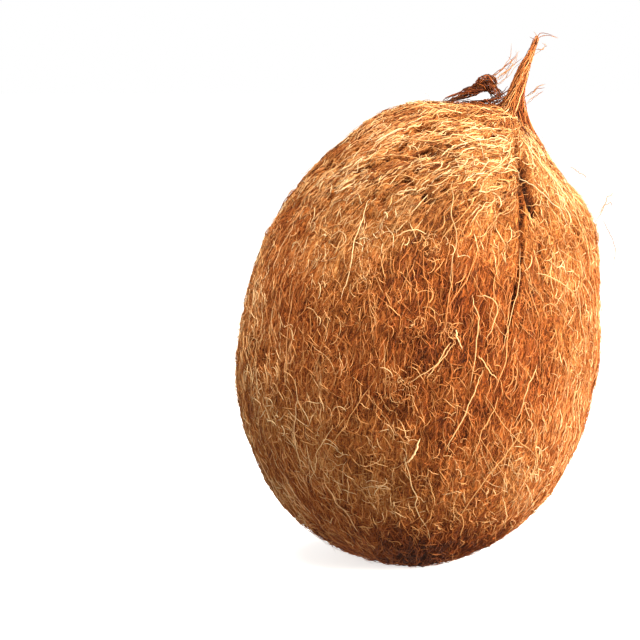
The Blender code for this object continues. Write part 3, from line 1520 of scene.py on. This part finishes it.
COAT_LAYERS = (
    FibreLayer(
        "undercoat", Lie.COMBED, 135000, 5 * MM, 13 * MM, 0.28 * MM, 11,
        knots=6, spread=0.9, wave=0.6 * MM, wave_length=4 * MM,
        sink=-0.3 * MM, rise=0.3 * MM, shade_shift=-0.14, shade_spread=0.46,
    ),
    FibreLayer(
        "dark_felt", Lie.COMBED, 165000, 2.5 * MM, 6.5 * MM, 0.28 * MM, 51,
        knots=5, spread=1.8, wave=0.5 * MM, wave_length=3 * MM,
        sink=-0.1 * MM, rise=0.5 * MM, shade_shift=-0.10, shade_spread=0.48,
    ),
    FibreLayer(
        "golden_felt", Lie.COMBED, 165000, 2.5 * MM, 6.5 * MM, 0.24 * MM, 52,
        knots=5, spread=1.5, wave=0.5 * MM, wave_length=3 * MM,
        sink=-0.1 * MM, rise=0.7 * MM, shade_shift=0.05, shade_spread=0.48,
    ),
    FibreLayer(
        "combed_coat", Lie.COMBED, 78000, 6 * MM, 18 * MM, 0.24 * MM, 21,
        knots=8, spread=0.6, wave=0.9 * MM, wave_length=5 * MM,
        sink=-0.5 * MM, rise=0.5 * MM, shade_shift=0.03, shade_spread=0.46,
    ),
    FibreLayer(
        "matted_curls", Lie.CURLED, 82000, 2.5 * MM, 7 * MM, 0.20 * MM, 31,
        knots=9, spread=2.4, wave=0.6 * MM, wave_length=4 * MM,
        curl=0.8 * MM, curl_turns=1.0,
        sink=0.0 * MM, rise=0.9 * MM, shade_shift=0.08, shade_spread=0.5,
    ),
    FibreLayer(
        "crown_locks", Lie.COMBED, 150000, 4 * MM, 11 * MM, 0.34 * MM, 71,
        knots=8, spread=0.5, wave=1.1 * MM, wave_length=4 * MM,
        sink=0.0 * MM, rise=0.8 * MM, shade_shift=0.06, shade_spread=0.4, region="crown",
    ),
    # Painted shadow: dark hairs laid on the crown where its crevices lie in shade.
    FibreLayer(
        "crown_painted_shadow_hairs", Lie.COMBED, 80000, 4 * MM, 10 * MM, 0.30 * MM, 72,
        knots=8, spread=0.35, wave=1.1 * MM, wave_length=4 * MM,
        sink=0.3 * MM, rise=0.7 * MM, shade_shift=-0.34, shade_spread=0.3, region="crown",
    ),
    FibreLayer(
        "pale_long_strands", Lie.LOOSE, 1500, 14 * MM, 38 * MM, 0.27 * MM, 61,
        knots=20, spread=0.8, wave=1.5 * MM, wave_length=10 * MM,
        sink=0.3 * MM, rise=1.2 * MM, dip_length=12 * MM, shade_shift=0.20, shade_spread=0.25,
    ),
    FibreLayer(
        "flyaway_hairs", Lie.FLYAWAY, 26000, 5 * MM, 13 * MM, 0.13 * MM, 41,
        knots=8, spread=1.2, wave=1.0 * MM, wave_length=7 * MM,
        sink=0.1 * MM, rise=0.6 * MM, tip_lift=2.6 * MM, shade_shift=0.14, shade_spread=0.3,
    ),
)


@dataclass
class Strand:
    """One fibre that is laid along a given path or by a rule: its path, and how thick and pale it is."""

    path: np.ndarray
    girth: float
    tint: float
    hue: float = 0.4


@dataclass
class StrandBundle:
    """A piece made of strands whose paths are known, each turned into a thin tapering tube."""

    name: str
    material: bpy.types.Material
    thickness: float = 0.3 * MM
    sides: int = 3

    def lines(self, strands: Sequence[Strand]) -> bpy.types.Mesh:
        """The strands as lines of edges, with the maps that the tube tree reads."""
        mesh = bpy.data.meshes.new(self.name + "_lines")
        counts = [len(strand.path) for strand in strands]
        starts = np.cumsum([0] + counts[:-1])
        edges = [
            (int(start) + step, int(start) + step + 1)
            for start, count in zip(starts, counts)
            for step in range(count - 1)
        ]
        mesh.from_pydata(np.concatenate([strand.path for strand in strands]).tolist(), edges, [])
        maps = {
            "along": np.concatenate([np.linspace(0, 1, count) for count in counts]),
            "girth": np.repeat([strand.girth for strand in strands], counts),
            "tint": np.repeat([strand.tint for strand in strands], counts),
            "hue": np.repeat([strand.hue for strand in strands], counts),
        }
        for name, values in maps.items():
            CoirCoat.store(mesh, name, values)
        return mesh

    @staticmethod
    def tree() -> bpy.types.NodeTree:
        """The tree that turns lines of edges into tubes."""
        tree = new_geometry_tree(
            "strand_tubes",
            {
                "Thickness": ("NodeSocketFloat", 0.0003),
                "Sides": ("NodeSocketInt", 3),
                "Material": ("NodeSocketMaterial", None),
            },
        )
        given = add_node(tree, "NodeGroupInput").outputs
        lines = add_node(tree, "GeometryNodeMeshToCurve", {"Mesh": given["Geometry"]})
        tubes = make_tubes(tree, given, lines)
        add_node(tree, "NodeGroupOutput", {"Geometry": tubes})
        return tree

    def build(self, strands: Sequence[Strand]) -> bpy.types.Object:
        """Make the piece.

        Args:
            strands: The strands.

        Returns:
            The piece.
        """
        values = {"Thickness": self.thickness, "Sides": self.sides, "Material": self.material}
        mesh = grown_mesh(self.name, self.lines(strands), self.tree(), values)
        return place_piece(self.name, strip_maps(mesh))


def numbers_along(line: np.ndarray, places: np.ndarray) -> np.ndarray:
    """A line's rows at places from 0 to 1 along it."""
    base = np.linspace(0, 1, len(line))
    return np.stack([np.interp(places, base, column) for column in line.T], axis=1)


@dataclass
class Tuft:
    """The stalk end: a horn of twisted husk fibre, loops of dark fibre beside it, and wisps.

    Paths are (right, back, up, radius) in millimetres from the nut's middle.
    """

    shape: NutShape
    material: bpy.types.Material
    seed: int = 5
    horn: tuple[tuple[float, ...], ...] = (
        (26.6, -4.2, 64.5, 7.5),
        (27.6, -4.4, 70.0, 5.0),
        (28.5, -4.4, 75.0, 2.9),
        (29.9, -4.2, 80.0, 2.1),
        (31.5, -3.8, 84.5, 1.6),
        (33.2, -3.2, 88.0, 1.0),
        (34.5, -2.4, 91.0, 0.6),
        (35.3, -1.6, 93.6, 0.3),
    )
    loops: tuple[tuple[tuple[float, ...], ...], ...] = (
        (
            (4.0, -4.5, 72.0, 0.8),
            (8.0, -4.5, 73.8, 1.1),
            (12.0, -4.5, 75.2, 1.2),
            (15.5, -4.5, 76.6, 1.5),
            (18.6, -4.4, 78.2, 1.6),
            (21.2, -4.4, 76.8, 1.6),
            (23.2, -4.4, 74.4, 1.9),
            (26.0, -4.4, 71.0, 1.6),
        ),
        (
            (5.0, -5.5, 72.4, 0.9),
            (10.0, -5.8, 72.3, 1.0),
            (15.0, -6.0, 72.2, 1.1),
            (20.0, -5.8, 72.4, 1.3),
            (24.5, -5.0, 74.2, 1.4),
            (27.0, -4.6, 77.5, 1.1),
        ),
        (
            (16.5, -4.4, 77.0, 0.8),
            (17.0, -6.0, 79.6, 0.9),
            (19.6, -5.4, 80.6, 0.9),
            (21.6, -4.4, 79.2, 0.9),
            (20.2, -3.2, 77.2, 0.8),
            (17.4, -3.4, 77.4, 0.7),
        ),
    )
    wisps: tuple[tuple[tuple[float, ...], ...], ...] = (
        ((18.0, -4.0, 79.0), (22.5, -4.0, 82.0), (26.0, -4.0, 84.5), (29.3, -3.5, 87.6)),
        ((20.0, -5.0, 79.5), (24.0, -5.0, 82.4), (27.5, -4.0, 86.5), (28.2, -4.0, 90.2)),
        ((21.0, -4.0, 77.0), (25.0, -4.5, 80.0), (27.0, -4.0, 83.0), (30.0, -3.8, 85.0)),
        ((23.0, -5.0, 79.6), (25.2, -5.0, 82.4), (27.0, -4.0, 84.8), (26.0, -3.5, 86.0)),
        ((34.8, -2.0, 90.0), (35.6, -2.0, 93.0), (37.8, -2.0, 93.9), (40.4, -1.5, 93.2)),
        ((34.0, -2.5, 88.0), (36.4, -2.0, 90.5), (37.6, -2.0, 92.2), (36.4, -2.0, 93.6)),
        ((34.4, -2.0, 89.0), (36.8, -2.4, 89.8), (37.4, -2.0, 91.2)),
        ((31.6, -4.0, 74.0), (34.0, -4.0, 75.6), (35.2, -4.0, 77.0), (37.4, -4.0, 77.4)),
        ((31.0, -5.0, 71.0), (34.2, -4.0, 73.8), (36.6, -4.0, 75.6)),
    )

    def tube(self, knots: Sequence[Sequence[float]]) -> np.ndarray:
        """A smooth middle line with its radii, in metres in the frame, through a few knots."""
        line = smooth_path(np.array(knots) * MM, 60)
        line[:, :3] += self.shape.middle
        line[:, 3] = np.maximum(line[:, 3], 0.12 * MM)
        return line

    def horn_paths(self, rng: np.random.Generator) -> list[Strand]:
        """Strands that fan in over the crown and twist up the horn, dark ones deep inside."""
        line = self.tube(self.horn)
        front, right = self.shape.side_axes()
        strands = []
        for _ in range(320):
            turn = rng.uniform(0, 2 * math.pi)
            dark = rng.uniform() < 0.62
            edge = math.sqrt(rng.uniform(0.2, 0.75 if dark else 1.0))
            low = rng.uniform(0.08, 0.20)
            high = min(1.0, low + rng.uniform(0.15, 0.95) * (1.15 - low))
            share = np.linspace(low, high, 16)
            spin = turn + rng.normal(2.4, 2.0) * (share - low)
            row = numbers_along(line, share)
            ring = np.cos(spin)[:, None] * front + np.sin(spin)[:, None] * right
            fray = 1 + rng.uniform(-0.1, 0.5) * share**2
            horn = row[:, :3] + (row[:, 3] * edge * fray)[:, None] * ring
            down = np.linspace(rng.uniform(0.15, 0.34), 0.12, 5)
            foot = self.shape.at_polar(down, turn + rng.normal(0, 0.16) + 0.8 * (down - 0.12))
            foot += unit(foot - self.shape.middle) * rng.uniform(-0.4, 0.7) * MM
            path = smooth_path(np.vstack([foot, horn]), 28)
            path += rng.normal(0, 0.12 * MM, path.shape)
            left_side = -0.12 * math.sin(turn)
            tint = np.clip(rng.normal(0.20 if dark else 0.52, 0.13) + left_side, 0.03, 0.98)
            strands.append(Strand(path, rng.uniform(0.5, 1.4), tint, rng.uniform(0.0, 0.35)))
        return strands

    def wisp_paths(self, rng: np.random.Generator) -> list[Strand]:
        """Loose hairs that stand off the tuft, a few together along each path."""
        strands = []
        for knots in self.wisps:
            for _ in range(3):
                path = smooth_path(np.array(knots) * MM, 18) + self.shape.middle
                path += rng.normal(0, 0.4 * MM, 3)
                path += np.linspace(0, 1, 18)[:, None] * rng.normal(0, 0.9 * MM, 3)
                path += np.cumsum(rng.normal(0, 0.12 * MM, (18, 3)), axis=0)
                strands.append(Strand(path, rng.uniform(0.5, 1.1), rng.uniform(0.3, 0.75), 0.7))
        return strands

    def loop_paths(self, rng: np.random.Generator) -> list[Strand]:
        """Strands of the dark loops, wound round each other."""
        strands = []
        for knots, count in zip(self.loops, (46, 30, 18)):
            line = self.tube(knots)
            for _ in range(count):
                share = np.linspace(rng.uniform(0, 0.4), rng.uniform(0.6, 1.0), 22)
                row = numbers_along(line, share)
                tangent = unit(np.gradient(row[:, :3], axis=0))
                across = unit(np.cross(tangent, np.array([0.1, 1.0, 0.2])))
                beside = np.cross(tangent, across)
                spin = rng.uniform(0, 2 * math.pi) + np.linspace(0, rng.uniform(2, 6), 22)
                radius = (row[:, 3] * math.sqrt(rng.uniform(0.1, 1.3)))[:, None]
                ring = np.cos(spin)[:, None] * across + np.sin(spin)[:, None] * beside
                path = row[:, :3] + radius * ring + rng.normal(0, 0.14 * MM, (22, 3))
                tint = np.clip(rng.normal(0.24, 0.15), 0.02, 0.8)
                strands.append(Strand(path, rng.uniform(0.6, 1.4), tint, rng.uniform(0.0, 0.5)))
        return strands

    def build(self) -> None:
        """Make the horn, the loops and the wisps."""
        rng = np.random.default_rng(self.seed)
        StrandBundle("tuft_horn", self.material, 0.32 * MM).build(self.horn_paths(rng))
        StrandBundle("tuft_loops", self.material, 0.34 * MM).build(self.loop_paths(rng))
        StrandBundle("tuft_wisps", self.material, 0.26 * MM).build(self.wisp_paths(rng))


@dataclass(frozen=True)
class LaidHair:
    """A pale hair that shows up on the front: its path in millimetres, right of and above the
    middle, how thick it is, and how far it stands off the coat."""

    path: tuple[tuple[float, float], ...]
    girth: float = 1.0
    tint: float = 0.84
    lift: float = 0.9 * MM


LAID_HAIRS = (
    LaidHair(((15.6, 11.3), (16.0, 8.1), (17.9, 2.9), (17.4, -1.7), (17.2, -7.8), (16.0, -19.0)), 1.5),
    LaidHair(((16.7, 11.2), (19.8, 10.9), (23.5, 8.1), (22.3, 2.0), (19.8, -4.5)), 1.3),
    LaidHair(((10.4, 0.1), (9.9, -1.7), (11.6, -5.9)), 1.6, 0.92),
    LaidHair(((8.5, -3.6), (6.2, -6.9), (3.9, -11.1), (1.5, -15.3)), 1.3),
    LaidHair(((9.5, -4.0), (6.8, -8.0), (2.5, -12.1), (-4.5, -16.3)), 1.1),
    LaidHair(((35.2, 17.9), (38.9, 16.0), (42.7, 14.2), (46.4, 11.4), (48.7, 6.4)), 1.6),
    LaidHair(((44.1, 12.4), (42.2, 10.0), (41.0, 7.7)), 1.2),
    LaidHair(((35.7, -10.6), (34.7, -14.3), (32.4, -18.1), (31.0, -23.7), (28.2, -29.8)), 1.3),
    LaidHair(((17.0, -7.8), (20.2, -10.6), (24.4, -15.7)), 1.3),
    LaidHair(((30.5, 26.0), (30.3, 15.6), (28.7, 9.0), (26.8, -0.3), (24.9, -7.3)), 1.1),
    LaidHair(((18.5, -12.3), (14.2, -22.8), (10.4, -30.3), (6.0, -38.0)), 1.4),
    LaidHair(((19.0, -20.0), (24.5, -28.5), (30.0, -34.0), (36.5, -40.5)), 1.0, 0.8),
    LaidHair(((23.5, -21.0), (18.8, -30.5), (15.0, -40.0)), 1.0, 0.8),
    LaidHair(((-1.1, -33.8), (-3.2, -38.0), (-5.9, -42.7)), 2.2, 0.92),
    LaidHair(((1.5, -46.0), (3.0, -50.0), (3.2, -54.5)), 1.3, 0.8),
    LaidHair(((32.3, -28.4), (26.2, -38.3), (21.2, -44.3), (10.0, -60.2)), 1.1, 0.8),
    LaidHair(((14.8, -28.4), (24.3, -44.3), (30.7, -53.9)), 0.9, 0.78),
    LaidHair(((24.8, -52.0), (25.6, -56.5), (24.4, -61.0)), 1.3, 0.85),
    LaidHair(((9.0, -54.0), (12.5, -59.0), (12.0, -64.5)), 1.1, 0.75),
    LaidHair(((-4.0, -63.0), (0.5, -59.5), (2.2, -55.5)), 1.0, 0.75),
    LaidHair(((-9.1, 29.6), (-4.6, 31.4), (0.5, 30.5)), 1.4, 0.9),
    LaidHair(((-25.0, 41.7), (-17.1, 44.9), (-7.5, 48.8), (-1.1, 47.5), (5.2, 51.3)), 1.0, 0.8),
    LaidHair(((-29.8, 46.5), (-18.7, 52.9), (-7.5, 55.1), (3.0, 54.0)), 1.0, 0.8),
    LaidHair(((-8.0, 61.0), (2.0, 59.0), (12.0, 60.5), (20.0, 57.5)), 1.1, 0.82),
    LaidHair(((28.5, 62.0), (27.0, 56.0), (23.5, 51.0), (19.0, 48.5)), 1.1, 0.86),
    LaidHair(((31.5, 60.0), (36.0, 53.0), (41.0, 46.0), (47.0, 38.0)), 1.2, 0.9),
    LaidHair(((45.0, 50.4), (48.4, 48.0), (49.9, 47.2)), 0.8, 0.6, 2.4 * MM),
    LaidHair(((52.6, 33.6), (54.4, 37.4), (55.6, 40.4), (57.8, 43.4)), 0.9, 0.6, 2.4 * MM),
    LaidHair(((53.6, 36.0), (56.4, 39.0), (58.0, 38.6)), 0.8, 0.6, 2.4 * MM),
    LaidHair(((54.4, 35.0), (57.2, 30.0), (58.8, 25.0), (58.0, 19.0)), 0.8, 0.55, 2.6 * MM),
)


@dataclass
class LooseHairs:
    """The pale hairs that lie on the front one by one, and the curly knots of hair among them."""

    shape: NutShape
    coat: bpy.types.Object
    material: bpy.types.Material
    seed: int = 9
    knots: tuple[tuple[float, float, float], ...] = (
        (2.0, -13.0, 4.0),
        (-4.0, -17.0, 4.5),
        (-9.0, -20.0, 4.0),
        (3.5, 26.5, 3.0),
        (9.0, -1.0, 3.0),
        (-3.0, 1.0, 4.0),
        (46.0, 29.0, 4.0),
        (50.0, -14.0, 3.5),
        (38.0, 30.0, 3.0),
        (9.0, -58.0, 5.0),
        (-20.0, 20.0, 4.0),
        (-30.0, -10.0, 4.0),
    )

    def off_front(self, places: np.ndarray, lift: float | np.ndarray) -> np.ndarray:
        """Points a little above the coat, at places in millimetres on the front."""
        points = self.shape.front_points(places * MM)
        return points + unit(points - self.shape.middle) * np.reshape(lift, (-1, 1))

    def build(self) -> None:
        """Make the hairs and the knots."""
        rng = np.random.default_rng(self.seed)
        strands = []
        for hair in LAID_HAIRS:
            places = smooth_path(np.array(hair.path), 26)
            places += np.cumsum(rng.normal(0, 0.13, places.shape), axis=0)
            ends = np.abs(np.linspace(-1, 1, 26)) ** 3
            path = self.off_front(places, hair.lift + (0.7 - ends) * 0.5 * MM)
            strands.append(Strand(path, 0.8 * hair.girth, hair.tint - 0.08, 0.4))
        for right, up, radius in self.knots:
            for _ in range(22):
                turn = rng.uniform(0, 2 * math.pi) + np.linspace(0, rng.uniform(1, 5), 20)
                size = rng.uniform(0.5, 2.0)
                walk = np.cumsum(rng.normal(0, 0.16, (20, 2)), axis=0)
                start = rng.normal(0, radius / 2, 2) + (right, up)
                places = start + walk + size * np.stack([np.cos(turn), np.sin(turn)], axis=1)
                path = self.off_front(places, rng.uniform(0.3, 1.3, 1) * MM)
                strands.append(Strand(path, rng.uniform(0.4, 0.7), rng.uniform(0.4, 0.78), 0.3))
        StrandBundle("laid_hairs", self.material, 0.36 * MM).build(strands)


# ----------------------------------------------------------------------------------------------
# The studio
# ----------------------------------------------------------------------------------------------


@dataclass
class Studio:
    """A pale floor, soft light from the upper right, and a camera nearly level with the nut."""

    middle: Vector
    floor_radius: float = 6.0
    world_strength: float = 0.46
    paper_glow: float = 0.80
    metres_across: float = 204 * MM
    paper: StudioPaper = field(default_factory=StudioPaper)

    def build(self) -> None:
        """Make the floor, the lights, the world and the camera."""
        self.add_floor()
        self.add_world()
        self.add_softbox("key_softbox", (0.84, -0.42, 0.26), 0.45, 29.0, "#FFF6E8")
        self.add_softbox("top_softbox", (-0.15, -0.22, 0.92), 0.55, 20.0, "#FFF8EE")
        self.add_softbox("front_fill_softbox", (0.20, -1.15, -0.02), 0.80, 8.0, "#FFF9F0")
        self.add_camera()
        view = bpy.context.scene.view_settings
        view.view_transform = "Standard"
        view.look = "None"

    def add_floor(self) -> None:
        """A wide round sheet of paper."""
        shape = bmesh.new()
        bmesh.ops.create_circle(shape, cap_ends=True, segments=96, radius=self.floor_radius)
        mesh = bpy.data.meshes.new("studio_floor")
        shape.to_mesh(mesh)
        shape.free()
        mesh.materials.append(self.paper.material(self.paper_glow))
        floor = bpy.data.objects.new("studio_floor", mesh)
        floor.visible_diffuse = False
        bpy.context.scene.collection.objects.link(floor)

    def add_world(self) -> None:
        """A plain white surround, brighter to the eye than it lights the nut."""
        world = bpy.data.worlds.new("white_surround")
        bpy.context.scene.world = world
        world.use_nodes = True
        tree = world.node_tree
        background = tree.nodes["Background"]
        background.inputs["Color"].default_value = (1.0, 1.0, 1.0, 1.0)
        path = add_node(tree, "ShaderNodeLightPath")
        strength = add_node(
            tree,
            "ShaderNodeMapRange",
            {"Value": path.outputs["Is Camera Ray"], "To Min": self.world_strength, "To Max": 1.0},
        )
        tree.links.new(strength.outputs["Result"], background.inputs["Strength"])

    def add_softbox(
        self, name: str, place: tuple[float, float, float], size: float, power: float, colour: str
    ) -> None:
        """Hang a square lamp that looks at the nut.

        Args:
            name: The lamp's name.
            place: Where it hangs, from the nut's middle.
            size: The length of its side.
            power: Its power in watts.
            colour: Its sRGB hex colour.
        """
        lamp = bpy.data.lights.new(name, "AREA")
        lamp.size = size
        lamp.energy = power
        lamp.color = linear(colour)[:3]
        holder = bpy.data.objects.new(name, lamp)
        bpy.context.scene.collection.objects.link(holder)
        holder.location = self.middle + Vector(place)
        holder.rotation_euler = Vector(place).to_track_quat("Z", "Y").to_euler()

    def add_camera(self) -> None:
        """A long lens, nearly level with the nut, aimed to the left of it."""
        lens = bpy.data.cameras.new("camera")
        lens.sensor_width = 36.0
        lens.lens = lens.sensor_width * EYE_DISTANCE / self.metres_across
        camera = bpy.data.objects.new("camera", lens)
        bpy.context.scene.collection.objects.link(camera)
        back = Vector((0, -math.cos(EYE_HEIGHT), math.sin(EYE_HEIGHT)))
        aim = self.middle + Vector((EYE_AIM[0], 0, EYE_AIM[1]))
        camera.location = aim + back * EYE_DISTANCE
        camera.rotation_euler = back.to_track_quat("Z", "Y").to_euler()
        bpy.context.scene.camera = camera


def main() -> None:
    """Build the coconut and its studio, and hand them to the frame."""
    logging.basicConfig(level=logging.INFO, format="%(name)s: %(message)s")
    for leftover in list(bpy.data.objects):
        bpy.data.objects.remove(leftover)
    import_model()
    shape = NutShape()
    coat = CoirCoat(shape).build()
    fibre = CoirFibre().material()
    FibreCoat(coat, fibre, COAT_LAYERS).build()
    Tuft(shape, fibre).build()
    LooseHairs(shape, coat, fibre).build()
    Studio(Vector(shape.middle)).build()


if __name__ == "__main__":
    main()
